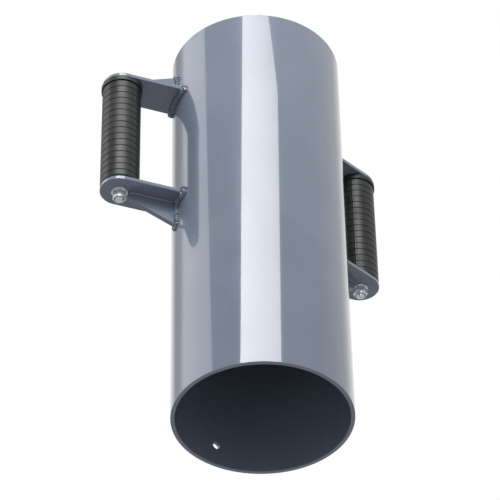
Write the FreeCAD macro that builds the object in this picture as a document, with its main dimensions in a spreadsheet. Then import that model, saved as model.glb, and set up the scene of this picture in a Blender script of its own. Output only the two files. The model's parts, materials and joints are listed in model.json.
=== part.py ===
import FreeCAD, Part
import math
import os
import Sketcher

# Hand post driver: a steel tube, closed at its upper end by a strike plate, is dropped over a post and
# thrown down by two side handles. Each handle is two welded flat arms with gussets, and a ribbed rubber
# grip that turns on a spacer tube clamped between the arms by a long bolt.
#
# Frame: the origin is the centre of the open mouth, +Z runs up the tube to the closed end, and the YZ
# plane is the plane of symmetry, with the hanging hole on +Y. Millimetres.

drivingSizes = [
    ("tubeRadius", 84.15, "outside radius of the driving tube"),
    ("tubeWall", 4.0, "wall of the driving tube"),
    ("tubeLength", 440.0, "length of the driving tube"),
    ("tubeEdgeBreak", 0.5, "chamfer on the tube's end edges"),
    ("strikeThickness", 20.0, "thickness of the strike plate"),
    ("strikeRecess", 5.0, "depth of the strike plate's top below the tube's end"),
    ("strikeSeatStep", 1.0, "width of the shoulder turned in the tube for the strike plate"),
    ("strikeClearance", 0.15, "radial gap round the strike plate"),
    ("strikeEdgeBreak", 1.0, "chamfer on the strike plate's upper edge, which the weld fills"),
    ("strikeWeldLeg", 4.0, "leg of the ring weld on the strike plate"),
    ("hangingHoleRadius", 3.5, "radius of the hanging hole"),
    ("hangingHoleLevel", 22.0, "height of the hanging hole above the mouth"),
    ("handleSpread", 156.0, "angle between the two handles, measured across the hanging hole"),
    ("handleReach", 57.0, "distance from the tube's surface to a grip's axis"),
    ("handleDrop", 62.0, "distance from the closed end down to the upper arms' top faces"),
    ("armGap", 133.0, "clear height between an upper arm and a lower arm"),
    ("armWidth", 38.0, "width of an arm, which ends in a half circle"),
    ("armThickness", 4.0, "thickness of an arm"),
    ("weldGap", 0.1, "gap between the tube and a piece that is welded to it"),
    ("gussetThickness", 5.0, "thickness of a gusset"),
    ("gussetSetback", 10.0, "distance from a grip's axis back to a gusset's nose"),
    ("gussetNose", 8.0, "height of a gusset at its nose"),
    ("gussetRoot", 28.0, "height of a gusset at the tube"),
    ("armWeldLeg", 4.5, "leg of the weld round an arm's root"),
    ("gussetWeldLeg", 3.0, "leg of the weld along a gusset"),
    ("boltRadius", 4.0, "radius of the handle bolt"),
    ("boltHoleClearance", 0.5, "radial gap between the bolt and an arm's hole"),
    ("boltHeadHeight", 5.3, "height of the bolt's hexagonal head"),
    ("hexWidth", 13.0, "width across the flats of the bolt's head and of the nut"),
    ("threadStickout", 2.0, "length of bolt that stands out of the nut"),
    ("threadClearance", 0.05, "radial gap between the bolt and the nut"),
    ("washerRadius", 8.0, "outside radius of a washer"),
    ("washerThickness", 1.6, "thickness of a washer"),
    ("washerClearance", 0.2, "radial gap between the bolt and a washer"),
    ("nutHexHeight", 6.2, "height of the nut's hexagonal part"),
    ("nutCollarWall", 0.75, "wall of the nut's collar round the locking ring"),
    ("nutCollarHeight", 1.8, "height of the nut's collar above the hexagon"),
    ("insertWall", 1.1, "wall of the locking ring in the nut's collar"),
    ("insertHeight", 1.6, "height of the locking ring"),
    ("spacerRadius", 11.0, "outside radius of the spacer tube"),
    ("spacerWall", 2.0, "wall of the spacer tube"),
    ("gripClearance", 0.05, "running gap between a grip and its spacer tube"),
    ("gripEndGap", 0.4, "gap between a grip's end and an arm"),
    ("gripRadius", 19.0, "radius over the grip's rings"),
    ("gripCollarStep", 1.2, "height of the grip's end collar over its rings"),
    ("gripCollarHeight", 5.4, "height of the grip's end collar"),
    ("gripFootHeight", 8.2, "height of the plain band at the grip's lower end"),
    ("gripEdgeBreak", 0.8, "chamfer on the grip's end edges"),
    ("grooveWidth", 1.2, "width of a groove between two rings"),
    ("grooveDepth", 1.0, "depth of a groove between two rings"),
    ("ringCount", 15, "number of rings between the grip's plain band and its end collar"),
]

document = FreeCAD.newDocument("PostDriver")
sheet = document.addObject("Spreadsheet::Sheet", "Sizes")
subParts = []


class Size:
    """A length or an angle in degrees: its number, and the sheet expression that gives it."""

    def __init__(self, value, text):
        self.value = value
        self.text = text

    def __add__(self, other):
        other = asSize(other)
        return Size(self.value + other.value, f"({self.text} + {other.text})")

    def __sub__(self, other):
        other = asSize(other)
        return Size(self.value - other.value, f"({self.text} - {other.text})")

    def __mul__(self, other):
        other = asSize(other)
        return Size(self.value * other.value, f"({self.text} * {other.text})")

    def __truediv__(self, other):
        other = asSize(other)
        return Size(self.value / other.value, f"({self.text} / {other.text})")

    def __rsub__(self, other):
        return asSize(other) - self

    def __neg__(self):
        return Size(-self.value, f"(-1 * {self.text})")


def asSize(number):
    return number if isinstance(number, Size) else Size(float(number), repr(float(number)))


def cosine(angle):
    return Size(math.cos(math.radians(angle.value)), f"cos({angle.text} * 1deg)")


def sine(angle):
    return Size(math.sin(math.radians(angle.value)), f"sin({angle.text} * 1deg)")


def arcSine(ratio):
    return Size(math.degrees(math.asin(ratio.value)), f"(asin({ratio.text}) / 1deg)")


# The sheet, and the sizes that several pieces share.

size = {}
for row, (alias, value, meaning) in enumerate(drivingSizes, start=1):
    sheet.set(f"A{row}", meaning)
    sheet.set(f"B{row}", str(value))
    sheet.setAlias(f"B{row}", alias)
    size[alias] = Size(value, f"Sizes.{alias}")
document.recompute()

zero = asSize(0)
halfTurn = 180.0
boreRadius = size["tubeRadius"] - size["tubeWall"]
seatRadius = boreRadius + size["strikeSeatStep"]
strikeRadius = seatRadius - size["strikeClearance"]
strikeTop = size["tubeLength"] - size["strikeRecess"]
strikeBottom = strikeTop - size["strikeThickness"]
weldedRadius = size["tubeRadius"] + size["weldGap"]
gripAxis = size["tubeRadius"] + size["handleReach"]
halfArm = size["armWidth"] / 2
halfGusset = size["gussetThickness"] / 2
gussetTip = gripAxis - size["gussetSetback"]

upperArmTop = size["tubeLength"] - size["handleDrop"]
upperArmBottom = upperArmTop - size["armThickness"]
lowerArmTop = upperArmBottom - size["armGap"]
lowerArmBottom = lowerArmTop - size["armThickness"]

hexFlat = size["hexWidth"] / 2
hexCorner = size["hexWidth"] / math.sqrt(3)
chamferSlope = math.tan(math.radians(30))
nutHeight = size["nutHexHeight"] + size["nutCollarHeight"]
insertRadius = size["boltRadius"] + size["threadClearance"] + size["insertWall"]
nutFace = lowerArmBottom - size["washerThickness"]
gripLength = size["armGap"] - size["gripEndGap"] * 2
gripBore = size["spacerRadius"] + size["gripClearance"]


# Drawing helpers.

def newBody(name):
    body = document.addObject("PartDesign::Body", name)
    body.Label = name
    subParts.append(body)
    return body


def newSketch(body, planeRole):
    plane = next(item for item in body.Origin.OriginFeatures if item.Role == planeRole)
    sketch = body.newObject("Sketcher::SketchObject", f"{body.Name}_sketch")
    sketch.AttachmentSupport = [(plane, "")]
    sketch.MapMode = "FlatFace"
    return sketch


def dimension(sketch, kind, size, *geometry):
    index = sketch.addConstraint(Sketcher.Constraint(kind, *geometry, size.value))
    sketch.setExpression(f"Constraints[{index}]", size.text)


def locate(sketch, geometry, end, across, up):
    dimension(sketch, "DistanceX", across, -1, 1, geometry, end)
    dimension(sketch, "DistanceY", up, -1, 1, geometry, end)


def drawOutline(sketch, corners):
    """A closed outline of straight sides through the corners, each placed from the sketch's origin."""
    points = [FreeCAD.Vector(across.value, up.value, 0) for across, up in corners]
    sides = []
    for start, end in zip(points, points[1:] + points[:1]):
        sides.append(sketch.addGeometry(Part.LineSegment(start, end)))
    for side, following in zip(sides, sides[1:] + sides[:1]):
        sketch.addConstraint(Sketcher.Constraint("Coincident", side, 2, following, 1))
    for side, (across, up) in zip(sides, corners):
        locate(sketch, side, 1, across, up)


def drawCircle(sketch, across, up, radius):
    centre = FreeCAD.Vector(across.value, up.value, 0)
    circle = sketch.addGeometry(Part.Circle(centre, FreeCAD.Vector(0, 0, 1), radius.value))
    locate(sketch, circle, 3, across, up)
    dimension(sketch, "Radius", radius, circle)


def drawArc(sketch, across, radius, halfAngle):
    """An arc about a point on the sketch's horizontal axis, as far above the axis as below it."""
    circle = Part.Circle(FreeCAD.Vector(across.value, 0, 0), FreeCAD.Vector(0, 0, 1), radius.value)
    arc = sketch.addGeometry(Part.ArcOfCircle(circle, -halfAngle, halfAngle))
    locate(sketch, arc, 3, across, zero)
    dimension(sketch, "Radius", radius, arc)
    return arc


def extrude(body, sketch, kind, length, direction="One side"):
    feature = body.newObject(f"PartDesign::{kind}", f"{body.Name}_{kind.lower()}")
    feature.Profile = sketch
    feature.SideType = direction
    feature.setExpression("Length", length.text)
    return feature


def revolve(body, sketch, kind="Revolution", angle=asSize(360)):
    """Turns a sketch of the XZ plane about the body's Z axis, half of the angle to each side."""
    feature = body.newObject(f"PartDesign::{kind}", f"{body.Name}_{kind.lower()}")
    feature.Profile = sketch
    feature.ReferenceAxis = (sketch, ["V_Axis"])
    feature.Midplane = True
    feature.setExpression("Angle", angle.text)
    return feature


def turned(body, corners, kind="Revolution"):
    profile = newSketch(body, "XZ_Plane")
    drawOutline(profile, corners)
    return revolve(body, profile, kind)


def ring(name, outerRadius, innerRadius, height):
    body = newBody(name)
    face = newSketch(body, "XY_Plane")
    drawCircle(face, zero, zero, outerRadius)
    drawCircle(face, zero, zero, innerRadius)
    extrude(body, face, "Pad", height)
    return body


def place(body, azimuth, distance, level, roll=0.0):
    """Puts a body at a distance from the tube's axis, turned to face away from it."""
    spot = f"vector({(cosine(azimuth) * distance).text}; {(sine(azimuth) * distance).text}; {level.text})"
    body.setExpression("Placement", f"placement({spot}; rotation({azimuth.text}; 0; {roll}))")


# The driving tube and its closed end.

def makeTube():
    body = newBody("driver_tube")
    outer = size["tubeRadius"]
    top = size["tubeLength"]
    edge = size["tubeEdgeBreak"]
    turned(body, [
        (boreRadius + edge, zero),
        (outer - edge, zero),
        (outer, edge),
        (outer, top - edge),
        (outer - edge, top),
        (seatRadius + edge, top),
        (seatRadius, top - edge),
        (seatRadius, strikeBottom),
        (boreRadius, strikeBottom),
        (boreRadius, edge),
    ])
    holeFace = newSketch(body, "XZ_Plane")
    drawCircle(holeFace, zero, size["hangingHoleLevel"], size["hangingHoleRadius"])
    extrude(body, holeFace, "Pocket", outer + size["tubeWall"])


def makeStrikePlate():
    body = newBody("strike_plate")
    edge = size["strikeEdgeBreak"]
    turned(body, [
        (zero, strikeBottom),
        (strikeRadius, strikeBottom),
        (strikeRadius, strikeTop - edge),
        (strikeRadius - edge, strikeTop),
        (zero, strikeTop),
    ])


def makeStrikeWeld():
    body = newBody("strike_plate_weld")
    edge = size["strikeEdgeBreak"]
    leg = size["strikeWeldLeg"]
    turned(body, [
        (seatRadius - leg, strikeTop),
        (strikeRadius - edge, strikeTop),
        (strikeRadius, strikeTop - edge),
        (seatRadius, strikeTop - edge),
        (seatRadius, strikeTop + leg),
    ])


# The handle brackets, drawn with the gusset up and with Z = 0 on the arm's face that carries it.

def makeArm(name, azimuth, level, roll):
    body = newBody(name)
    face = newSketch(body, "XY_Plane")
    rootAngle = math.asin(halfArm.value / weldedRadius.value)
    root = drawArc(face, zero, weldedRadius, rootAngle)
    nose = drawArc(face, gripAxis, halfArm, math.pi / 2)
    for side, rootEnd, noseEnd in ((-1, 1, 1), (1, 2, 2)):
        inner = FreeCAD.Vector(weldedRadius.value * math.cos(rootAngle), side * halfArm.value, 0)
        outer = FreeCAD.Vector(gripAxis.value, side * halfArm.value, 0)
        edge = face.addGeometry(Part.LineSegment(inner, outer))
        face.addConstraint(Sketcher.Constraint("Horizontal", edge))
        face.addConstraint(Sketcher.Constraint("Coincident", edge, 1, root, rootEnd))
        face.addConstraint(Sketcher.Constraint("Tangent", edge, 2, nose, noseEnd))
    drawCircle(face, gripAxis, zero, size["boltRadius"] + size["boltHoleClearance"])
    slab = extrude(body, face, "Pad", size["armThickness"])
    slab.Reversed = True
    place(body, azimuth, zero, level, roll)


gussetCorners = [
    (weldedRadius, zero),
    (gussetTip, zero),
    (gussetTip, size["gussetNose"]),
    (weldedRadius, size["gussetRoot"]),
]


def makeGusset(name, azimuth, level, roll):
    body = newBody(name)
    side = newSketch(body, "XZ_Plane")
    drawOutline(side, gussetCorners)
    extrude(body, side, "Pad", size["gussetThickness"], "Symmetric")
    place(body, azimuth, zero, level, roll)


def makeBracketWeld(name, azimuth, level, roll):
    """Weld round an arm's root, along both sides of its gusset, and up the gusset's root."""
    body = newBody(name)
    tube = size["tubeRadius"]
    thick = size["armThickness"]
    armLeg = size["armWeldLeg"]
    leg = size["gussetWeldLeg"]
    toe = halfGusset + leg
    weldTop = size["gussetRoot"] + leg

    collar = newSketch(body, "XZ_Plane")
    drawOutline(collar, [
        (tube, -(thick + armLeg)),
        (tube + armLeg, -thick),
        (tube + armLeg, zero),
        (tube, armLeg),
    ])
    wrap = arcSine((halfArm + armLeg) / tube) * 2
    revolve(body, collar, angle=wrap)

    alongArm = newSketch(body, "YZ_Plane")
    drawOutline(alongArm, [(-toe, zero), (toe, zero), (halfGusset, leg), (-halfGusset, leg)])
    extrude(body, alongArm, "Pad", gussetTip)

    upTube = newSketch(body, "XY_Plane")
    drawOutline(upTube, [(zero, -toe), (tube, -toe), (tube + leg, -halfGusset),
                         (tube + leg, halfGusset), (tube, toe), (zero, toe)])
    extrude(body, upTube, "Pad", weldTop)

    tubeSpace = newSketch(body, "XY_Plane")
    drawCircle(tubeSpace, zero, zero, tube)
    extrude(body, tubeSpace, "Pocket", (weldTop + thick + armLeg) * 2, "Symmetric")

    armSpace = newSketch(body, "XY_Plane")
    drawOutline(armSpace, [(zero, -halfArm), (gripAxis, -halfArm), (gripAxis, halfArm), (zero, halfArm)])
    extrude(body, armSpace, "Pocket", thick)

    gussetSpace = newSketch(body, "XZ_Plane")
    drawOutline(gussetSpace, gussetCorners + [(boreRadius, size["gussetRoot"]), (boreRadius, zero)])
    extrude(body, gussetSpace, "Pocket", size["gussetThickness"], "Symmetric")
    place(body, azimuth, zero, level, roll)


# The handle bolt, its washers and its lock nut.

def drawHexagon(sketch):
    drawOutline(sketch, [
        (hexCorner, zero),
        (hexCorner / 2, hexFlat),
        (-hexCorner / 2, hexFlat),
        (-hexCorner, zero),
        (-hexCorner / 2, -hexFlat),
        (hexCorner / 2, -hexFlat),
    ])


def bevelHexagon(body, level, inward):
    """Cuts the hexagon's corners to a cone that starts at its flats, on the face at this level."""
    outside = hexCorner * 2
    drop = (outside - hexFlat) * chamferSlope * inward
    turned(body, [(hexFlat, level), (outside, level), (outside, level + drop)], "Groove")


def makeBolt(name, azimuth):
    body = newBody(name)
    radius = size["boltRadius"]
    clamped = size["armGap"] + size["armThickness"] * 2 + size["washerThickness"] * 2
    shank = clamped + nutHeight + size["threadStickout"]
    bevel = size["threadStickout"] / 2
    turned(body, [
        (zero, -shank),
        (radius - bevel, -shank),
        (radius, bevel - shank),
        (radius, zero),
        (zero, zero),
    ])
    head = newSketch(body, "XY_Plane")
    drawHexagon(head)
    extrude(body, head, "Pad", size["boltHeadHeight"])
    bevelHexagon(body, size["boltHeadHeight"], -1)
    place(body, azimuth, gripAxis, upperArmTop + size["washerThickness"])


def makeNut(name, azimuth):
    """Lock nut, drawn with its washer face at Z = 0 and its collar up, and hung upside down."""
    body = newBody(name)
    hexagon = newSketch(body, "XY_Plane")
    drawHexagon(hexagon)
    extrude(body, hexagon, "Pad", size["nutHexHeight"])
    bevelHexagon(body, zero, 1)
    bevelHexagon(body, size["nutHexHeight"], -1)
    collarFace = newSketch(body, "XY_Plane")
    drawCircle(collarFace, zero, zero, insertRadius + size["nutCollarWall"])
    extrude(body, collarFace, "Pad", nutHeight)
    bore = newSketch(body, "XY_Plane")
    drawCircle(bore, zero, zero, size["boltRadius"] + size["threadClearance"])
    extrude(body, bore, "Pocket", nutHeight).Reversed = True
    insertSeat = nutHeight - size["insertHeight"]
    turned(body, [
        (zero, insertSeat),
        (insertRadius, insertSeat),
        (insertRadius, nutHeight),
        (zero, nutHeight),
    ], "Groove")
    place(body, azimuth, gripAxis, nutFace, halfTurn)


def makeHandleFasteners(side, azimuth):
    makeBolt(f"{side}_bolt", azimuth)
    makeNut(f"{side}_nut", azimuth)
    insert = ring(f"{side}_nut_insert", insertRadius, size["boltRadius"] + size["threadClearance"],
                  size["insertHeight"])
    place(insert, azimuth, gripAxis, nutFace - nutHeight)
    washerBore = size["boltRadius"] + size["washerClearance"]
    for name, level in (("head_washer", upperArmTop), ("nut_washer", nutFace)):
        washer = ring(f"{side}_{name}", size["washerRadius"], washerBore, size["washerThickness"])
        place(washer, azimuth, gripAxis, level)


# The ribbed grip, and the spacer tube that it turns on.

def makeGrip(name, azimuth):
    body = newBody(name)
    radius = size["gripRadius"]
    collar = radius + size["gripCollarStep"]
    collarFoot = gripLength - size["gripCollarHeight"]
    edge = size["gripEdgeBreak"]
    turned(body, [
        (gripBore, zero),
        (radius - edge, zero),
        (radius, edge),
        (radius, collarFoot),
        (collar, collarFoot),
        (collar, gripLength - edge),
        (collar - edge, gripLength),
        (gripBore, gripLength),
    ])
    floor = radius - size["grooveDepth"]
    halfGroove = size["grooveWidth"] / 2
    firstGroove = size["gripFootHeight"]
    groove = turned(body, [
        (floor, firstGroove - halfGroove),
        (radius + size["grooveDepth"], firstGroove - halfGroove),
        (radius + size["grooveDepth"], firstGroove + halfGroove),
        (floor, firstGroove + halfGroove),
    ], "Groove")
    rings = body.newObject("PartDesign::LinearPattern", f"{name}_rings")
    rings.Originals = [groove]
    rings.Direction = (groove.Profile[0], ["V_Axis"])
    rings.setExpression("Length", (collarFoot - halfGroove - firstGroove).text)
    rings.setExpression("Occurrences", (size["ringCount"] + 1).text)
    body.Tip = rings
    place(body, azimuth, gripAxis, lowerArmTop + size["gripEndGap"])


def makeHandle(side, azimuth):
    for position, level, roll in (("upper", upperArmTop, 0.0), ("lower", lowerArmBottom, halfTurn)):
        makeArm(f"{side}_{position}_arm", azimuth, level, roll)
        makeGusset(f"{side}_{position}_gusset", azimuth, level, roll)
        makeBracketWeld(f"{side}_{position}_weld", azimuth, level, roll)
    spacer = ring(f"{side}_spacer_tube", size["spacerRadius"], size["spacerRadius"] - size["spacerWall"],
                  size["armGap"])
    place(spacer, azimuth, gripAxis, lowerArmTop)
    makeGrip(f"{side}_grip", azimuth)
    makeHandleFasteners(side, azimuth)


def checkDocument():
    for item in document.Objects:
        if "Invalid" in item.State or "Error" in item.State:
            raise RuntimeError(f"{item.Label}: {item.State}")
    for body in subParts:
        if body.Shape.isNull() or not body.Shape.isValid():
            raise RuntimeError(f"{body.Label} has no valid shape")


makeTube()
makeStrikePlate()
makeStrikeWeld()
makeHandle("left", size["handleSpread"] / 2 + 90)
makeHandle("right", 90 - size["handleSpread"] / 2)
document.recompute()
checkDocument()

os.makedirs("parts", exist_ok=True)
for body in subParts:
    body.Shape.exportStep(f"parts/{body.Label}.step")
    print(body.Label, len(body.Shape.Solids), round(body.Shape.Volume))
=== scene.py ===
import bmesh
import bpy
import json
import math
from mathutils import Matrix, Vector, noise


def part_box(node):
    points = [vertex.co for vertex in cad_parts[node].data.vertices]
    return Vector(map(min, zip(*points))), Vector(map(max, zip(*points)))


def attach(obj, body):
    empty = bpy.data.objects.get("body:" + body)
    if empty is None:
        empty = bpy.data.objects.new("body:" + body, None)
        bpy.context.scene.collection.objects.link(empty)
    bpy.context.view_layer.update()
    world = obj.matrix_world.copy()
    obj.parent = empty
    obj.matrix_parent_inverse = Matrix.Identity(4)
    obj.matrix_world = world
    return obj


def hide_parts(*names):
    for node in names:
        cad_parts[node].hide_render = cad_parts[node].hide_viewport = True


# Hand post driver: a glossy painted tube, closed at the top, with two side handles. Each handle is two
# welded arms with gussets and a ribbed rubber grip that turns on the spacer tube between them.
# Metres, +Z up, origin in the middle of the open mouth.

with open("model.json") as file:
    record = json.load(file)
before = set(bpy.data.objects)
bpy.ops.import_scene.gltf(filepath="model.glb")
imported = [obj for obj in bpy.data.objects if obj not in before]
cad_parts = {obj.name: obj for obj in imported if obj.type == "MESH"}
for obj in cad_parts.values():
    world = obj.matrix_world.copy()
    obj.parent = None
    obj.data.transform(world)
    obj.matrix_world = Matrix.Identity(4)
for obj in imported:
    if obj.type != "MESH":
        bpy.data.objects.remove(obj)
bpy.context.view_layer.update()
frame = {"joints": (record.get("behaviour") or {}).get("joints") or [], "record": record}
mounts = {mount["name"]: mount for mount in frame["record"]["mounts"]}
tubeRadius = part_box("driver_tube")[1].x
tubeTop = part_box("driver_tube")[1].z
boreRadius = mounts["post_bore"]["dims"]["r_mm"] / 1000
handles = {}
for joint in frame["joints"]:
    axis = Vector((joint["pos_m"][0], joint["pos_m"][1], 0))
    handles[joint["child"].split("_")[0]] = {
        "axis": axis,
        "azimuth": math.atan2(axis.y, axis.x),
        "reach": axis.length,
    }
print("frame loaded: tube", round(tubeRadius, 5), round(tubeTop, 4), "bore", boreRadius)


# Materials.

class Signal:
    # A socket that Python's own operators work on: each of them adds a Math node.
    def __init__(self, finish, socket):
        self.finish = finish
        self.socket = socket

    def join(self, operation, first, second):
        return self.finish.node("Math", {"operation": operation}, {0: first, 1: second})

    def __add__(self, other):
        return self.join("ADD", self, other)

    def __radd__(self, other):
        return self.join("ADD", other, self)

    def __sub__(self, other):
        return self.join("SUBTRACT", self, other)

    def __rsub__(self, other):
        return self.join("SUBTRACT", other, self)

    def __mul__(self, other):
        return self.join("MULTIPLY", self, other)

    def __rmul__(self, other):
        return self.join("MULTIPLY", other, self)


class Finish:
    # The node tree of one material or of the world, and the few mixtures that the finishes share.
    def __init__(self, owner):
        owner.use_nodes = True
        self.owner = owner
        self.tree = owner.node_tree
        self.tree.nodes.clear()

    def node(self, kind, settings=None, inputs=None, output=0):
        made = self.tree.nodes.new("ShaderNode" + kind)
        for key, value in (settings or {}).items():
            setattr(made, key, value)
        for key, value in (inputs or {}).items():
            socket = made.inputs[key]
            if isinstance(value, Signal):
                self.tree.links.new(value.socket, socket)
            elif socket.type == "RGBA":
                socket.default_value = (*value, 1)
            else:
                socket.default_value = value
        return Signal(self, made.outputs[output]) if made.outputs else None

    def place(self, stretch=(1, 1, 1)):
        spot = self.node("TexCoord", output="Object")
        return self.node("Mapping", {}, {"Vector": spot, "Scale": stretch})

    def noise(self, scale, detail=2.0, stretch=(1, 1, 1)):
        return self.node("TexNoise", {}, {"Vector": self.place(stretch), "Scale": scale, "Detail": detail})

    def fade(self, value, low, high, bottom=0.0, top=1.0):
        return self.node("MapRange", {"interpolation_type": "SMOOTHSTEP"}, {
            "Value": value, "From Min": low, "From Max": high, "To Min": bottom, "To Max": top,
        })

    def blend(self, factor, first, second):
        return self.node("Mix", {"data_type": "RGBA"}, {0: factor, 6: first, 7: second}, 2)

    def edge(self):
        return self.node("Attribute", {"attribute_name": "edgeWear"}, output="Fac")

    def between(self, pair, factor):
        low, high = pair
        return low + (high - low) * factor

    def bump(self, height, distance, under=None):
        inputs = {"Height": height, "Distance": distance}
        if under:
            inputs["Normal"] = under
        return self.node("Bump", {}, inputs)

    def surface(self, sockets):
        shader = self.node("BsdfPrincipled", {}, sockets)
        self.node("OutputMaterial", {}, {"Surface": shader})
        return self.owner


# In the settings of a finish, a noise is its scale and its detail, and a fade is where it starts and ends.

paintSettings = {
    "colour": (0.180, 0.214, 0.282),
    "shade": (0.165, 0.197, 0.261),      # slightly uneven pigment
    "shadeNoise": (14, 4),
    "shadeFade": (0.35, 0.65),
    "worn": (0.240, 0.264, 0.305),       # paint drawn thin over an edge
    "wornNoise": (120, 3),
    "wornFade": (0.35, 0.62),
    "wornShare": 0.55,
    "primer": (0.070, 0.072, 0.075),     # what shows in a chip
    "chipNoise": (310, 4),
    "chipFade": (0.66, 0.70),
    "chipDepth": 0.00008,
    "chipRoughness": 0.3,
    "peelNoise": (260, 1),               # orange peel, about 4 mm from crest to crest
    "peelHeight": 0.000016,
    "sagNoise": (22, 0),                 # slow waves in the tube and its paint
    "sagHeight": 0.00012,
    "roughness": (0.16, 0.27),
    "handledNoise": (9, 5),              # duller where it is handled
    "handledFade": (0.42, 0.72),
    "grainNoise": (900, 3),
    "grainRoughness": 0.03,
    "specular": 0.2,
    "coatRoughness": 0.02,
    "coatIndex": 1.5,
}


def makePaint():
    finish = Finish(bpy.data.materials.new("glossPaint"))
    s = paintSettings
    pigment = finish.noise(*s["shadeNoise"])
    colour = finish.blend(finish.fade(pigment, *s["shadeFade"]), s["colour"], s["shade"])
    thin = finish.edge() * finish.fade(finish.noise(*s["wornNoise"]), *s["wornFade"])
    colour = finish.blend(thin * s["wornShare"], colour, s["worn"])
    chip = finish.fade(finish.edge() * finish.noise(*s["chipNoise"]), *s["chipFade"])
    colour = finish.blend(chip, colour, s["primer"])
    handled = finish.fade(finish.noise(*s["handledNoise"]), *s["handledFade"])
    grain = finish.noise(*s["grainNoise"])
    roughness = finish.between(s["roughness"], handled) + grain * s["grainRoughness"]
    peel = finish.bump(finish.noise(*s["peelNoise"]), s["peelHeight"])
    sag = finish.bump(finish.noise(*s["sagNoise"]), s["sagHeight"], peel)
    return finish.surface({
        "Base Color": colour,
        "Roughness": roughness + chip * s["chipRoughness"],
        "Specular IOR Level": s["specular"],
        "Coat Weight": 1 - chip,
        "Coat Roughness": s["coatRoughness"],
        "Coat IOR": s["coatIndex"],
        "Normal": finish.bump(0 - chip, s["chipDepth"], sag),
    })


zincSettings = {
    "colour": (0.90, 0.96, 0.98),
    "tarnish": (0.74, 0.82, 0.85),
    "bloomNoise": (420, 4),
    "bloomFade": (0.35, 0.70),
    "worn": (0.92, 0.93, 0.95),
    "wornShare": 0.5,
    "metallic": 0.75,                    # plating with a faint white bloom over it
    "roughness": (0.12, 0.24),
    "scratchNoise": (90, 6),
    "scratchStretch": (1, 1, 14),        # fine turning marks, round the axis
    "scratchRoughness": 0.05,
    "scratchDepth": 0.00003,
    "grainNoise": (1400, 2),
    "grainDepth": 0.00001,
}


def makeZinc():
    finish = Finish(bpy.data.materials.new("brightZinc"))
    s = zincSettings
    bloom = finish.fade(finish.noise(*s["bloomNoise"]), *s["bloomFade"])
    scratch = finish.noise(*s["scratchNoise"], s["scratchStretch"])
    colour = finish.blend(bloom, s["colour"], s["tarnish"])
    grain = finish.bump(finish.noise(*s["grainNoise"]), s["grainDepth"])
    return finish.surface({
        "Base Color": finish.blend(finish.edge() * s["wornShare"], colour, s["worn"]),
        "Metallic": s["metallic"],
        "Roughness": finish.between(s["roughness"], bloom) + scratch * s["scratchRoughness"],
        "Normal": finish.bump(scratch, s["scratchDepth"], grain),
    })


rubberSettings = {
    "colour": (0.011, 0.013, 0.0125),
    "bloom": (0.020, 0.023, 0.022),      # pale bloom on handled rubber
    "bloomNoise": (55, 5),
    "bloomFade": (0.35, 0.70),
    "dust": (0.075, 0.078, 0.072),
    "dustNoise": (240, 3),
    "dustFade": (0.4, 0.7),
    "dustShare": 0.5,
    "roughness": (0.37, 0.46),
    "specular": 0.45,
    "grainNoise": (1600, 3),             # the mould's own surface
    "grainDepth": 0.00003,
    "skinNoise": (300, 2),
    "skinDepth": 0.00005,
}


def makeRubber():
    finish = Finish(bpy.data.materials.new("gripRubber"))
    s = rubberSettings
    bloom = finish.fade(finish.noise(*s["bloomNoise"]), *s["bloomFade"])
    colour = finish.blend(bloom, s["colour"], s["bloom"])
    dusty = finish.edge() * finish.fade(finish.noise(*s["dustNoise"]), *s["dustFade"])
    grain = finish.bump(finish.noise(*s["grainNoise"]), s["grainDepth"])
    return finish.surface({
        "Base Color": finish.blend(dusty * s["dustShare"], colour, s["dust"]),
        "Roughness": finish.between(s["roughness"], bloom),
        "Specular IOR Level": s["specular"],
        "Normal": finish.bump(finish.noise(*s["skinNoise"]), s["skinDepth"], grain),
    })


nylonSettings = {
    "colour": (0.16, 0.27, 0.46),
    "pale": (0.21, 0.33, 0.54),
    "mottleNoise": (700, 3),
    "mottleFade": (0.3, 0.7),
    "mottleDepth": 0.00003,
    "roughness": (0.38, 0.52),
}


def makeNylon():
    finish = Finish(bpy.data.materials.new("ringNylon"))
    s = nylonSettings
    mottle = finish.noise(*s["mottleNoise"])
    return finish.surface({
        "Base Color": finish.blend(finish.fade(mottle, *s["mottleFade"]), s["colour"], s["pale"]),
        "Roughness": finish.between(s["roughness"], mottle),
        "Normal": finish.bump(mottle, s["mottleDepth"]),
    })


finishes = {
    "painted_steel": makePaint(),
    "zinc_steel": makeZinc(),
    "grip_rubber": makeRubber(),
    "nylon": makeNylon(),
}
print("materials made")


# Mesh helpers. A vertex's edgeWear is 1 in the middle of a rounded edge and 0 elsewhere.

meshSettings = {
    "merge": 1e-7,               # points nearer than this are one
    "sharpEdge": 35,             # degrees between faces from which an edge is rounded
    "sharpShading": 42,          # and from which it is shaded as an edge
}


def newMesh():
    bm = bmesh.new()
    bm.verts.layers.float.new("edgeWear")
    return bm


def spinOutline(bm, corners, steps, closed=True):
    verts = [bm.verts.new((radius, 0, level)) for radius, level in corners]
    following = verts[1:] + verts[:1] if closed else verts[1:]
    edges = [bm.edges.new(pair) for pair in zip(verts, following)]
    bmesh.ops.spin(
        bm, geom=verts + edges, cent=(0, 0, 0), axis=(0, 0, 1), dvec=(0, 0, 0),
        angle=math.tau, steps=steps, use_merge=True, use_duplicate=False,
    )
    bmesh.ops.remove_doubles(bm, verts=bm.verts[:], dist=meshSettings["merge"])
    bmesh.ops.recalc_face_normals(bm, faces=bm.faces[:])


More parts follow.
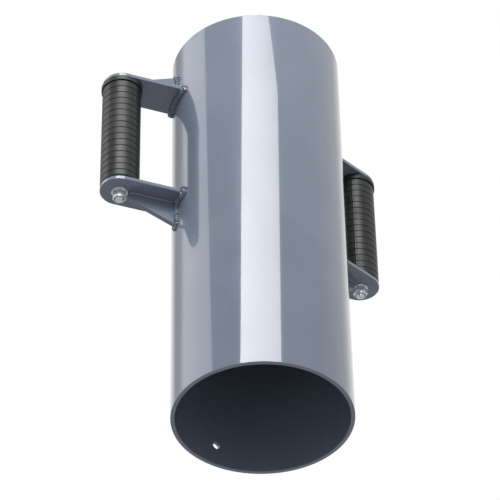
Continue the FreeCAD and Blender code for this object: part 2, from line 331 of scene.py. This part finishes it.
def roundEdges(bm, width, segments=3, hollows=False, keep=lambda edge: True):
    wear = bm.verts.layers.float["edgeWear"]
    limit = math.radians(meshSettings["sharpEdge"])
    sharp = [
        edge for edge in bm.edges
        if len(edge.link_faces) == 2 and edge.calc_face_angle() > limit
        and (hollows or edge.is_convex) and keep(edge)
    ]
    rounded = set(bmesh.ops.bevel(
        bm, geom=sharp, offset=width, offset_type="OFFSET", segments=segments, profile=0.5,
        affect="EDGES", material=-1, clamp_overlap=True,
    )["faces"])
    for vert in {vert for face in rounded for vert in face.verts}:
        if all(face in rounded for face in vert.link_faces):
            vert[wear] = 1.0


def cutAcross(bm, point, normal):
    bmesh.ops.bisect_plane(
        bm, geom=bm.verts[:] + bm.edges[:] + bm.faces[:], dist=meshSettings["merge"],
        plane_co=point, plane_no=normal,
    )


def thicken(bm, faces, vec):
    grown = bmesh.ops.extrude_face_region(bm, geom=faces)["geom"]
    bmesh.ops.translate(bm, vec=vec, verts=[item for item in grown if isinstance(item, bmesh.types.BMVert)])
    bmesh.ops.recalc_face_normals(bm, faces=bm.faces[:])


def move(bm, matrix):
    bmesh.ops.transform(bm, matrix=matrix, verts=bm.verts[:])


def onHandle(side, turn=0.0, level=0.0):
    # From the middle of the world to a handle's bolt axis, turned to face away from the tube.
    handle = handles[side]
    place = Matrix.Translation(handle["axis"] + Vector((0, 0, level)))
    return place @ Matrix.Rotation(handle["azimuth"] + turn, 4, "Z")


def finishPiece(bm, name, node, body, slot):
    mesh = bpy.data.meshes.new(name)
    bm.to_mesh(mesh)
    bm.free()
    mesh.shade_smooth()
    mesh.set_sharp_from_angle(angle=math.radians(meshSettings["sharpShading"]))
    mesh.materials.append(finishes[slot])
    piece = bpy.data.objects.new(name, mesh)
    bpy.context.scene.collection.objects.link(piece)
    weighted = piece.modifiers.new("weighted", "WEIGHTED_NORMAL")
    weighted.keep_sharp = True
    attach(piece, body)
    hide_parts(node)


# The tube, with its hanging hole.

tubeSettings = {
    "steps": 288,
    "edgeRadius": 0.0006,
    "holeColumns": 4,       # faces cleared on each side of the hole
    "holeBreak": 0.0004,
    "seatRadius": 0.08115,
}


def makeTube():
    s = tubeSettings
    bm = newMesh()
    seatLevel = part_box("strike_plate")[0].z
    spinOutline(bm, [
        (boreRadius, 0), (tubeRadius, 0), (tubeRadius, tubeTop),
        (s["seatRadius"], tubeTop), (s["seatRadius"], seatLevel), (boreRadius, seatLevel),
    ], s["steps"])
    roundEdges(bm, s["edgeRadius"])
    drillHole(bm, s)
    finishPiece(bm, "driverTube", "driver_tube", "driver", "painted_steel")


def drillHole(bm, s):
    # A square patch is cleared from both walls, and a ring of the hole's own size is bridged into each.
    hole = mounts["hanging_hole"]
    level = hole["pos_m"][2]
    radius = hole["dims"]["r_mm"] / 1000
    column = math.tau * tubeRadius / s["steps"]
    count = s["holeColumns"]
    for row in range(-count, count + 1):
        cutAcross(bm, (0, 0, level + row * column), (0, 0, 1))
    half = count * column
    patch = []
    for face in bm.faces:
        middle = face.calc_center_median()
        turn = math.atan2(middle.x, middle.y) * tubeRadius
        if abs(turn) < half and abs(middle.z - level) < half and abs(face.normal.z) < 0.1:
            patch.append(face)
    rims = {False: set(), True: set()}
    for face in patch:
        outside = face.calc_center_median().xy.length > (tubeRadius + boreRadius) / 2
        for edge in face.edges:
            rims[outside] ^= {edge}
    bmesh.ops.delete(bm, geom=patch, context="FACES")
    rings = []
    wall = (
        (tubeRadius, radius + s["holeBreak"]), (tubeRadius - s["holeBreak"], radius),
        (boreRadius + s["holeBreak"], radius), (boreRadius, radius + s["holeBreak"]),
    )
    segments = 8 * count     # as many as the edges round the patch
    for depth, ringRadius in wall:
        made = bmesh.ops.create_circle(bm, segments=segments, radius=ringRadius, cap_ends=False)["verts"]
        for vert in made:
            across, up = vert.co.x, vert.co.y
            vert.co = (across, math.sqrt(depth ** 2 - across ** 2), level + up)
        rings.append({edge for vert in made for edge in vert.link_edges})
    for first, second in [(rims[True], rings[0]), *zip(rings, rings[1:]), (rings[-1], rims[False])]:
        bmesh.ops.bridge_loops(bm, edges=[edge for edge in first | second if edge.is_valid])
    bmesh.ops.recalc_face_normals(bm, faces=bm.faces[:])


makeTube()


# Turned pieces: the strike plate, the washers, the locking rings and the spacer tubes.

boltRadius = 0.004
turnedSettings = {
    "steps": 96,
    "plateSteps": 192,
    "plateEdge": 0.0010,
    "washerBore": boltRadius + 0.0002,
    "washerEdge": 0.0003,
    "ringBore": boltRadius + 0.00005,
    "ringEdge": 0.0003,
    "spacerBore": 0.009,
    "spacerEdge": 0.0004,
}


def makeTurned(node, name, innerRadius, edgeRadius, slot, steps=turnedSettings["steps"], centre=None):
    low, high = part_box(node)
    bm = newMesh()
    outer = (high.x - low.x) / 2
    height = high.z - low.z
    corners = [(innerRadius, 0), (outer, 0), (outer, height), (innerRadius, height)]
    spinOutline(bm, corners, steps, closed=innerRadius > 0)
    roundEdges(bm, edgeRadius)
    move(bm, Matrix.Translation((centre or Vector()) + Vector((0, 0, low.z))))
    finishPiece(bm, name, node, "driver", slot)


def makeTurnedPieces():
    s = turnedSettings
    makeTurned("strike_plate", "strikePlate", 0, s["plateEdge"], "painted_steel", steps=s["plateSteps"])
    onBolt = (
        ("head_washer", "HeadWasher", s["washerBore"], s["washerEdge"], "zinc_steel"),
        ("nut_washer", "NutWasher", s["washerBore"], s["washerEdge"], "zinc_steel"),
        ("nut_insert", "NutInsert", s["ringBore"], s["ringEdge"], "nylon"),
        ("spacer_tube", "SpacerTube", s["spacerBore"], s["spacerEdge"], "zinc_steel"),
    )
    for side, handle in handles.items():
        for node, name, bore, edge, slot in onBolt:
            makeTurned(f"{side}_{node}", side + name, bore, edge, slot, centre=handle["axis"])


makeTurnedPieces()
print("turned pieces made")


# Handle brackets, drawn with the gusset up and Z = 0 on the arm's face that carries it.

bracketSettings = {
    "rootGap": 0.0001,           # between the tube and what is welded to it
    "armEdge": 0.00045,
    "noseSteps": 48,
    "rootSteps": 16,
    "boltHole": 0.0045,
    "boltHoleSteps": 48,
    "gussetThickness": 0.005,
    "gussetSetback": 0.010,      # from the grip's axis back to the gusset's nose
    "gussetNose": 0.008,
    "gussetEdge": 0.0005,
}


def bracketPlace(side, position):
    low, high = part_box(f"{side}_{position}_arm")
    turn = Matrix.Rotation(handles[side]["azimuth"], 4, "Z")
    if position == "upper":
        return turn @ Matrix.Translation((0, 0, high.z))
    return turn @ Matrix.Translation((0, 0, low.z)) @ Matrix.Rotation(math.pi, 4, "X")


def armSize(side):
    low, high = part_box(f"{side}_upper_arm")
    nose = high.x if side == "right" else -low.x
    return nose - abs(handles[side]["axis"].x), high.z - low.z


def spinVertex(bm, start, centre, angle, steps):
    first = bm.verts.new(start)
    last = bmesh.ops.spin(
        bm, geom=[first], cent=centre, axis=(0, 0, 1), dvec=(0, 0, 0), angle=angle, steps=steps,
        use_merge=False, use_duplicate=False,
    )["geom_last"]
    return first, next(item for item in last if isinstance(item, bmesh.types.BMVert))


def makeArm(side, position):
    s = bracketSettings
    half, thickness = armSize(side)
    reach = handles[side]["reach"]
    rootRadius = tubeRadius + s["rootGap"]
    rootAngle = math.asin(half / rootRadius)
    bm = newMesh()
    noseStart, noseEnd = spinVertex(bm, (reach, -half, 0), (reach, 0, 0), math.pi, s["noseSteps"])
    rootStart, rootEnd = spinVertex(
        bm, (rootRadius * math.cos(rootAngle), -half, 0), (0, 0, 0), rootAngle * 2, s["rootSteps"])
    bm.edges.new((noseStart, rootStart))
    bm.edges.new((noseEnd, rootEnd))
    hole = bmesh.ops.create_circle(bm, segments=s["boltHoleSteps"], radius=s["boltHole"], cap_ends=False)
    bmesh.ops.translate(bm, vec=(reach, 0, 0), verts=hole["verts"])
    bmesh.ops.triangle_fill(bm, use_beauty=True, use_dissolve=False, edges=bm.edges[:])
    thicken(bm, bm.faces[:], (0, 0, -thickness))
    roundEdges(bm, s["armEdge"], hollows=True)
    move(bm, bracketPlace(side, position))
    finishPiece(bm, f"{side}{position.title()}Arm", f"{side}_{position}_arm", "driver", "painted_steel")


def makeGusset(side, position):
    s = bracketSettings
    low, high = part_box(f"{side}_{position}_gusset")
    root = tubeRadius + s["rootGap"]
    tip = handles[side]["reach"] - s["gussetSetback"]
    bm = newMesh()
    outline = ((root, 0), (tip, 0), (tip, s["gussetNose"]), (root, high.z - low.z))
    half = s["gussetThickness"] / 2
    face = bm.faces.new([bm.verts.new((across, -half, up)) for across, up in outline])
    thicken(bm, [face], (0, half * 2, 0))
    roundEdges(bm, s["gussetEdge"])
    move(bm, bracketPlace(side, position))
    name = f"{side}{position.title()}Gusset"
    finishPiece(bm, name, f"{side}_{position}_gusset", "driver", "painted_steel")


# Weld beads: a chain of rings laid along a route, swollen at each ripple and uneven along its length.

weldSettings = {
    "ringSides": 12,
    "step": 0.0005,              # between rings
    "ripple": 0.0030,            # from one ripple to the next
    "rippleHeight": 0.55,        # share of the bead's radius
    "rippleMean": 0.64,          # of a ripple's arch, taken off so that ripples don't thicken the bead
    "rippleLean": 0.35,          # how far a ripple's middle trails, as a share of its length
    "rippleDrift": (220, 0.5),   # scale and size of the noise that spaces the ripples unevenly
    "uneven": 0.45,
    "unevenScale": 150,
    "wander": 0.0009,
    "wanderScale": 190,
    "armBead": 0.0031,
    "armLift": 0.0008,           # from the corner out to the bead's middle
    "gussetBead": 0.0018,
    "gussetLift": 0.0006,
    "gussetStart": 0.0020,       # from the tube to the ends of the bead along a gusset
    "rootStart": 0.0010,         # from the arm to the ends of the bead up a gusset's root
    "rootBead": 1.3,             # share of the gusset's bead, up its root
    "noseBead": 0.7,             # and round its nose
    "noseReach": 0.06,           # share of the route that the nose takes
    "calm": 0.35,                # share of the ripples left on the bead along a gusset
    "strikeBead": 0.0028,
    "strikeSeed": 40,
    "seeds": {
        "left": {"upper": 44, "lower": 43},
        "right": {"upper": 51, "lower": 50},
    },
}


def evenRoute(corners, step, passes=3):
    # Points at even steps along straight runs, then relaxed so that the corners turn softly.
    points = []
    for start, end in zip(corners, corners[1:]):
        count = max(1, round((end - start).length / step))
        points += [start.lerp(end, part / count) for part in range(count)]
    points.append(corners[-1])
    for _ in range(passes):
        inner = [(before + after + here) / 3
                 for before, here, after in zip(points, points[1:], points[2:])]
        points = [points[0], *inner, points[-1]]
    return points


def layBead(bm, route, radius, outward, seed, closed=False, size=lambda share: 1.0, rough=1.0):
    # outward points away from the corner that the bead fills; rough is the share of its unevenness.
    s = weldSettings
    driftScale, drift = s["rippleDrift"]
    count = len(route)
    previous = firstRing = None
    for index, point in enumerate(route):
        before = route[index - 1] if closed or index else point
        after = route[(index + 1) % count] if closed or index < count - 1 else point
        ahead = (after - before).normalized()
        side = ahead.cross(outward).normalized()
        up = side.cross(ahead)
        along = index * s["step"]
        phase = along / s["ripple"] + drift * noise.noise(point * driftScale)
        crown = abs(math.sin(math.pi * phase)) - s["rippleMean"]
        lump = noise.noise(point * s["unevenScale"] + Vector((seed, 0, 0)))
        swell = 1 + rough * (s["rippleHeight"] * crown + s["uneven"] * lump)
        shift = noise.noise_vector(point * s["wanderScale"] + Vector((0, seed, 0))) * s["wander"] * rough
        fromEnd = (min(index, count - 1 - index) + 0.25) * s["step"]
        ends = 1 if closed else min(1, math.sqrt(fromEnd / radius))
        ringRadius = radius * swell * ends * size(index / count)
        capped = not closed and index in (0, count - 1)
        made = bmesh.ops.create_circle(
            bm, segments=s["ringSides"], radius=ringRadius, cap_ends=capped,
            matrix=Matrix((side, up, ahead)).transposed().to_4x4(),
        )["verts"]
        for vert in made:
            lean = (vert.co.dot(up) / ringRadius) ** 2
            vert.co += point + shift - ahead * lean * s["ripple"] * s["rippleLean"]
        ring = {edge for vert in made for edge in vert.link_edges}
        if previous:
            bmesh.ops.bridge_loops(bm, edges=list(previous | ring))
        previous = ring
        firstRing = firstRing or ring
    if closed:
        bmesh.ops.bridge_loops(bm, edges=list(previous | firstRing))


def roundTube(corners, lift):
    # An even route through corners given across and up, laid on the tube's round wall.
    flat = evenRoute([Vector((0, across, up)) for across, up in corners], weldSettings["step"])
    return [Vector((math.sqrt(tubeRadius ** 2 - point.y ** 2) + lift, point.y, point.z)) for point in flat]


def makeBracketWeld(side, position):
    s = weldSettings
    b = bracketSettings
    seed = s["seeds"][side][position]
    fromTube, fromArm = Vector((1, 0, 0)), Vector((0, 0, 1))
    half, thickness = armSize(side)
    reach = handles[side]["reach"]
    low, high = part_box(f"{side}_{position}_gusset")
    root = high.z - low.z
    beside = b["gussetThickness"] / 2
    bm = newMesh()
    lift = s["armLift"]
    armCorners = (
        (beside, lift), (half + lift, lift), (half + lift, -thickness - lift),
        (-half - lift, -thickness - lift), (-half - lift, lift), (-beside, lift),
    )
    layBead(bm, roundTube(armCorners, lift), s["armBead"], fromTube, seed)
    lift = s["gussetLift"]
    beside += lift
    nose = reach - b["gussetSetback"]
    start = tubeRadius + s["gussetStart"]
    around = [
        Vector((out, across, lift)) for out, across in (
            (start, beside), (nose, beside), (nose + lift, 0), (nose, -beside), (start, -beside))
    ]
    layBead(bm, evenRoute(around, s["step"]), s["gussetBead"], fromArm, seed + 5, rough=s["calm"],
            size=lambda share: 1 - (1 - s["noseBead"]) * math.exp(-((share - 0.5) / s["noseReach"]) ** 2))
    over = ((beside, s["rootStart"]), (beside, root), (0, root + lift * 2), (-beside, root),
            (-beside, s["rootStart"]))
    layBead(bm, roundTube(over, lift), s["gussetBead"] * s["rootBead"], fromTube, seed + 9)
    bmesh.ops.recalc_face_normals(bm, faces=bm.faces[:])
    move(bm, bracketPlace(side, position))
    finishPiece(bm, f"{side}{position.title()}Weld", f"{side}_{position}_weld", "driver", "painted_steel")


def makeStrikeWeld():
    s = weldSettings
    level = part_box("strike_plate")[1].z
    radius = tubeSettings["seatRadius"] - s["armLift"]
    count = round(math.tau * radius / s["step"] / 2)
    route = [
        Vector((radius * math.cos(turn), radius * math.sin(turn), level + s["armLift"]))
        for turn in (math.tau * index / count for index in range(count))
    ]
    bm = newMesh()
    layBead(bm, route, s["strikeBead"], Vector((0, 0, 1)), s["strikeSeed"], closed=True)
    bmesh.ops.recalc_face_normals(bm, faces=bm.faces[:])
    finishPiece(bm, "strikePlateWeld", "strike_plate_weld", "driver", "painted_steel")


for side in handles:
    for position in ("upper", "lower"):
        makeArm(side, position)
        makeGusset(side, position)
        makeBracketWeld(side, position)
makeStrikeWeld()
print("brackets and welds made")


# The bolt and the lock nut: spun outlines, with the rings on the hexagon moved out to its sides.

fastenerSettings = {
    "ringSides": 72,
    "flat": 0.0065,              # half of the width across the flats
    "chamfer": math.tan(math.radians(30)),
    "chamferFoot": 0.97,         # where the chamfer starts, as a share of the flat
    "headHeight": 0.0053,
    "headDish": 0.0003,          # the forged hollow in the top of the head
    "headWell": 0.0040,
    "headWellSlope": 0.0004,
    "headFace": 0.94,            # how far the head's flat face reaches, as a share of the flat
    "headFaceDrop": 0.00004,
    "nutHex": 0.0062,
    "collarRadius": 0.0059,
    "collarEdge": 0.0005,
    "collarLip": 0.3,            # where its rounding passes, in and up, as a share of it
    "collarGap": 0.0001,
    "insertRadius": 0.00515,
    "nutTurn": 16,               # degrees that a nut stands turned from its handle
    "threadPitch": 0.00125,
    "threadDepth": 0.00062,
    "threadTurns": 7,
    "threadSteps": 40,           # in one turn
    "threadForm": ((1, 0), (0, 0.38), (0, 0.52), (1, 0.90), (1, 1)),     # depth and pitch, as shares
    "threadPoint": 0.0009,       # chamfer at the bolt's tip
    "threadMerge": 2e-6,
    "shankRadius": 0.0039,
    "boltEdge": 0.0003,
}


def hexReach(turn, flat):
    # How far a hexagon's side is from its middle, in the direction of turn; a corner points along +X.
    return flat / math.cos((turn % (math.pi / 3)) - math.pi / 6)


def spinRings(bm, rings, closed):
    # Each ring is a radius and a level, as numbers or as functions of the turn round the axis.
    def place(ring, turn):
        radius, level = ring
        return radius(turn) if callable(radius) else radius, level(turn) if callable(level) else level

    if not closed:
        rings = [(0, rings[0][1]), *rings, (0, rings[-1][1])]
    starts = [Vector(place(ring, 0)) for ring in rings]
    spinOutline(bm, starts, fastenerSettings["ringSides"], closed)
    for vert in bm.verts:
        here = Vector((vert.co.xy.length, vert.co.z))
        nearest = min(range(len(rings)), key=lambda index: (starts[index] - here).length)
        turn = math.atan2(vert.co.y, vert.co.x)
        reach, height = place(rings[nearest], turn)
        vert.co = (math.cos(turn) * reach, math.sin(turn) * reach, height)


def hexRing(flat, level, slope):
    # The edge where the chamfer's cone meets the flats, furthest from level at the hexagon's corners.
    foot = flat * fastenerSettings["chamferFoot"]
    return lambda turn: hexReach(turn, flat), lambda turn: level - (hexReach(turn, flat) - foot) * slope


def makeBolt(side):
    s = fastenerSettings
    low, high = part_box(f"{side}_bolt")
    under = high.z - s["headHeight"]
    flat = s["flat"]
    bm = newMesh()
    spinRings(bm, [
        (s["headWell"], high.z - s["headDish"]),
        (s["headWell"] + s["headWellSlope"], high.z),
        (flat * s["headFace"], high.z),
        (flat * s["chamferFoot"], high.z - s["headFaceDrop"]),
        hexRing(flat, high.z, s["chamfer"]),
        (lambda turn: hexReach(turn, flat), under),
        (s["shankRadius"], under),
        (s["shankRadius"], low.z + s["threadPitch"] * s["threadTurns"]),
    ], closed=False)
    cutThread(bm, low.z)
    bmesh.ops.recalc_face_normals(bm, faces=bm.faces[:])
    roundEdges(bm, s["boltEdge"] / 2, segments=2,
               keep=lambda edge: min(vert.co.z for vert in edge.verts) > under - 0.0001
               and max(vert.co.xy.length for vert in edge.verts) > flat * 0.98)
    move(bm, onHandle(side))
    finishPiece(bm, f"{side}Bolt", f"{side}_bolt", "driver", "zinc_steel")


def cutThread(bm, bottom):
    s = fastenerSettings
    pitch = s["threadPitch"]
    verts = [
        bm.verts.new((boltRadius - deep * s["threadDepth"], 0, bottom + (share - 1) * pitch))
        for deep, share in s["threadForm"]
    ]
    edges = [bm.edges.new(pair) for pair in zip(verts, verts[1:])]
    before = set(bm.faces)
    turns = s["threadTurns"] + 1
    bmesh.ops.spin(
        bm, geom=verts + edges, cent=(0, 0, 0), axis=(0, 0, 1), dvec=(0, 0, pitch / s["threadSteps"]),
        angle=math.tau * turns, steps=turns * s["threadSteps"], use_merge=False, use_duplicate=False,
    )
    faces = [face for face in bm.faces if face not in before]
    made = list({vert for face in faces for vert in face.verts})
    bmesh.ops.remove_doubles(bm, verts=made, dist=s["threadMerge"])
    faces = [face for face in bm.faces if face not in before]
    for vert in {vert for face in faces for vert in face.verts}:
        limit = boltRadius - max(0, s["threadPoint"] - (vert.co.z - bottom))
        if vert.co.xy.length > limit:
            vert.co.xy = vert.co.xy.normalized() * limit
    ends = ((bottom, -1), (bottom + pitch * s["threadTurns"], 1))
    for level, facing in ends:
        part = [face for face in bm.faces if face not in before]
        geometry = part + list({item for face in part for item in (*face.verts, *face.edges)})
        cut = bmesh.ops.bisect_plane(
            bm, geom=geometry, dist=meshSettings["merge"], plane_co=(0, 0, level), plane_no=(0, 0, facing),
            clear_outer=True,
        )["geom_cut"]
        bmesh.ops.edgeloop_fill(bm, edges=[item for item in cut if isinstance(item, bmesh.types.BMEdge)])
    bmesh.ops.holes_fill(bm, edges=[edge for edge in bm.edges if edge.is_boundary], sides=0)


def makeNut(side):
    s = fastenerSettings
    low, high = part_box(f"{side}_nut")
    flat = s["flat"]
    foot = high.z - s["nutHex"]
    bore = turnedSettings["ringBore"]
    lip = s["collarEdge"] * s["collarLip"]
    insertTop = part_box(f"{side}_nut_insert")[1].z
    bm = newMesh()
    spinRings(bm, [
        (bore, high.z), (flat * s["chamferFoot"], high.z),
        hexRing(flat, high.z, s["chamfer"]), hexRing(flat, foot, -s["chamfer"]),
        (flat * s["chamferFoot"], foot), (s["collarRadius"], foot - s["collarGap"]),
        (s["collarRadius"], low.z + s["collarEdge"]),
        (s["collarRadius"] - lip, low.z + lip),
        (s["collarRadius"] - s["collarEdge"], low.z),
        (s["insertRadius"], low.z), (s["insertRadius"], insertTop), (bore, insertTop),
    ], closed=True)
    bmesh.ops.recalc_face_normals(bm, faces=bm.faces[:])
    move(bm, onHandle(side, math.radians(s["nutTurn"])))
    finishPiece(bm, f"{side}Nut", f"{side}_nut", "driver", "zinc_steel")


for side in handles:
    makeBolt(side)
    makeNut(side)
print("fasteners made")


# The ribbed grips.

gripSettings = {
    "steps": 96,
    "radius": 0.019,
    "collarStep": 0.0012,
    "collarHeight": 0.0054,
    "bore": 0.01105,
    "footHeight": 0.0082,
    "grooveWidth": 0.0007,
    "grooveDepth": 0.0005,
    "grooveCount": 16,
    "ringEdge": 0.0003,
    "footRadius": 0.0024,
    "footSteps": 6,
    "seamHeight": 0.00018,       # the mould's parting line, on both sides of the grip
    "seamWidth": 0.0007,
    "seamTurn": 0.6,             # radians from the line out from the tube
}


def makeGrip(side):
    s = gripSettings
    low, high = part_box(f"{side}_grip")
    length = high.z - low.z
    collarFoot = length - s["collarHeight"]
    foot = s["footRadius"]
    outline = [(s["bore"], 0)] + [
        (s["radius"] - foot * (1 - math.sin(turn)), foot * (1 - math.cos(turn)))
        for turn in (math.pi / 2 * part / s["footSteps"] for part in range(s["footSteps"] + 1))
    ]
    pitch = (collarFoot - s["grooveWidth"] / 2 - s["footHeight"]) / (s["grooveCount"] - 1)
    for index in range(s["grooveCount"]):
        middle = s["footHeight"] + index * pitch
        start, end = middle - s["grooveWidth"] / 2, middle + s["grooveWidth"] / 2
        floor = s["radius"] - s["grooveDepth"]
        outline += [(s["radius"], start), (floor, start), (floor, end)]
        if index < s["grooveCount"] - 1:
            outline.append((s["radius"], end))
    collar = s["radius"] + s["collarStep"]
    outline += [(collar, collarFoot), (collar, length), (s["bore"], length)]
    bm = newMesh()
    spinOutline(bm, outline, s["steps"])
    roundEdges(bm, s["ringEdge"])
    for offset in (-1, 0, 1):
        cutAcross(bm, (0, offset * s["seamWidth"] / 2, 0), (0, 1, 0))
    for vert in bm.verts:
        reach = vert.co.xy.length
        if abs(vert.co.y) < s["seamWidth"] / 8 and reach > s["radius"] - s["grooveDepth"] / 2:
            vert.co.x *= 1 + s["seamHeight"] / reach
    bmesh.ops.recalc_face_normals(bm, faces=bm.faces[:])
    move(bm, onHandle(side, s["seamTurn"], low.z))
    finishPiece(bm, f"{side}Grip", f"{side}_grip", f"{side}_grip", "grip_rubber")


for side in handles:
    makeGrip(side)
print("grips made")


# The stage: a pale floor that can't be seen from below, a sky with brighter and darker parts, and one key
# light. A camera ray sees the sky as plain white.

stageSettings = {
    "floorSize": 12,
    "floorColour": (0.80, 0.80, 0.80),
    "floorMottle": (0.84, 0.84, 0.84),
    "floorNoise": (3, 2),
}
skySettings = {
    "above": 0.42,
    "below": 0.43,
    "horizon": (-0.3, 0.3),      # over which one passes into the other
    "raised": (0.0, 0.25),       # over which the brighter parts come in
    "fillTurn": -40,             # a paler room on one side
    "fillEdge": (0.05, 0.70),
    "fillGain": 0.34,
    "backdropTurn": 57,          # degrees from +X to the middle of the bright backdrop
    "backdropEdge": (0.46, 0.76),
    "backdropGain": 0.50,
    "wallTurn": 172,             # a bright side wall, brightest at its near edge
    "wallFade": (0.05, 0.80),
    "wallGain": 1.54,
    "wallTilt": 1.19,
    "wallOffset": 0.757,
    "wallSoftness": 0.025,
    "standTurn": 105,            # a grey stand in front of the backdrop
    "standRise": 41.5,
    "standEdge": (0.972, 0.998),
    "standShade": 0.50,
}
keySettings = {
    "turn": -120.8,              # degrees from +X round the tube's axis
    "distance": 1.55,
    "centre": 1.58,              # height of the box's middle
    "width": 1.35,
    "height": 1.38,
    "lean": 10,                  # degrees that the top leans away
    "roll": -16,
    "radiance": 8.3,
    "across": (1.12, 0.80),      # share of the radiance from one side of the box to the other
    "upward": (1.22, 0.78),      # and from its foot to its top
}


def makeFloor():
    s = stageSettings
    bm = bmesh.new()
    bmesh.ops.create_grid(bm, x_segments=1, y_segments=1, size=s["floorSize"] / 2)
    mesh = bpy.data.meshes.new("studioFloor")
    bm.to_mesh(mesh)
    bm.free()
    finish = Finish(bpy.data.materials.new("studioFloor"))
    seen = finish.node("LightPath", output="Is Camera Ray")
    above = 1 - finish.node("NewGeometry", output="Backfacing")
    pale = finish.blend(finish.noise(*s["floorNoise"]), s["floorColour"], s["floorMottle"])
    solid = finish.node("BsdfDiffuse", {}, {"Color": pale})
    clear = finish.node("BsdfTransparent")
    finish.node("OutputMaterial", {}, {
        "Surface": finish.node("MixShader", {}, {0: seen * above, 1: clear, 2: solid}),
    })
    mesh.materials.append(finish.owner)
    floor = bpy.data.objects.new("studioFloor", mesh)
    bpy.context.scene.collection.objects.link(floor)


def makeWorld():
    s = skySettings
    world = bpy.data.worlds.new("studioSky")
    bpy.context.scene.world = world
    finish = Finish(world)
    ray = finish.node("TexCoord", output="Generated")
    up = finish.node("SeparateXYZ", {}, {0: ray}, "Z")

    def along(turn, rise=0.0):
        # How nearly a ray points at a turn from +X and a rise from the horizon, both in degrees.
        turn, rise = math.radians(turn), math.radians(rise)
        towards = (math.cos(turn) * math.cos(rise), math.sin(turn) * math.cos(rise), math.sin(rise))
        return finish.node("VectorMath", {"operation": "DOT_PRODUCT"}, {0: ray, 1: towards}, "Value")

    raised = finish.fade(up, *s["raised"])
    backdrop = finish.fade(along(s["backdropTurn"]), *s["backdropEdge"]) * raised * s["backdropGain"]
    beyond = along(s["wallTurn"] - 90) - up * s["wallTilt"] + s["wallOffset"]
    wall = finish.fade(beyond, 0.0, s["wallSoftness"]) * finish.fade(along(s["wallTurn"]), *s["wallFade"])
    fill = finish.fade(along(s["fillTurn"]), *s["fillEdge"]) * raised * s["fillGain"]
    even = finish.fade(up, *s["horizon"], s["below"], s["above"])
    glow = even + backdrop + fill + wall * raised * s["wallGain"]
    stand = finish.fade(along(s["standTurn"], s["standRise"]), *s["standEdge"])
    glow = glow * (1 - stand * s["standShade"])
    lit = finish.node("Background", {}, {"Strength": glow, "Color": (1, 1, 1)})
    white = finish.node("Background", {}, {"Strength": 1.0, "Color": (1, 1, 1)})
    seen = finish.node("LightPath", output="Is Camera Ray")
    finish.node("OutputWorld", {}, {"Surface": finish.node("MixShader", {}, {0: seen, 1: lit, 2: white})})


def makeKeyBox():
    s = keySettings
    turn = math.radians(s["turn"])
    light = bpy.data.lights.new("keyBox", "AREA")
    light.shape = "RECTANGLE"
    light.size = s["width"]
    light.size_y = s["height"]
    light.energy = s["radiance"] * math.pi * s["width"] * s["height"]
    finish = Finish(light)
    spot = finish.node("NewGeometry", output="Parametric")
    strength = 1.0
    for name, part in (("across", "X"), ("upward", "Y")):
        share = finish.node("SeparateXYZ", {}, {0: spot}, part)
        first, last = s[name]
        strength = strength * finish.node("MapRange", {}, {"Value": share, "To Min": first, "To Max": last})
    finish.node("OutputLight", {}, {"Surface": finish.node("Emission", {}, {"Strength": strength})})
    box = bpy.data.objects.new("keyBox", light)
    middle = (math.cos(turn) * s["distance"], math.sin(turn) * s["distance"], s["centre"])
    upright = Matrix.Rotation(math.radians(90 + s["lean"]), 4, "X")
    facing = Matrix.Rotation(turn + math.pi / 2, 4, "Z") @ upright
    roll = Matrix.Rotation(math.radians(s["roll"]), 4, "Z")
    box.matrix_world = Matrix.Translation(middle) @ facing @ roll
    box.visible_camera = False
    bpy.context.scene.collection.objects.link(box)


makeFloor()
makeWorld()
makeKeyBox()


# The camera, below the mouth and looking up.

cameraSettings = {
    "heading": 57.197,            # degrees from +X, the way that it looks
    "rise": 40.947,
    "roll": -1.094,
    "distance": 2.5252,
    "aim": (-0.00732, 0.00472, 0.20398),
    "lens": 189.63,
    "sensor": 36,
}


def makeCamera():
    s = cameraSettings
    heading, rise = math.radians(s["heading"]), math.radians(s["rise"])
    level = math.cos(rise)
    forward = Vector((level * math.cos(heading), level * math.sin(heading), math.sin(rise)))
    right = forward.cross(Vector((0, 0, 1))).normalized()
    turn = Matrix((right, right.cross(forward), -forward)).transposed()
    camera = bpy.data.cameras.new("camera")
    camera.lens = s["lens"]
    camera.sensor_width = s["sensor"]
    viewer = bpy.data.objects.new("camera", camera)
    tilt = Matrix.Rotation(math.radians(s["roll"]), 3, "Z")
    viewer.matrix_world = (
        Matrix.Translation(Vector(s["aim"]) - forward * s["distance"]) @ (turn @ tilt).to_4x4()
    )
    bpy.context.scene.collection.objects.link(viewer)
    bpy.context.scene.camera = viewer


makeCamera()
bpy.context.scene.view_settings.view_transform = "Standard"
print("stage, lights and camera made")
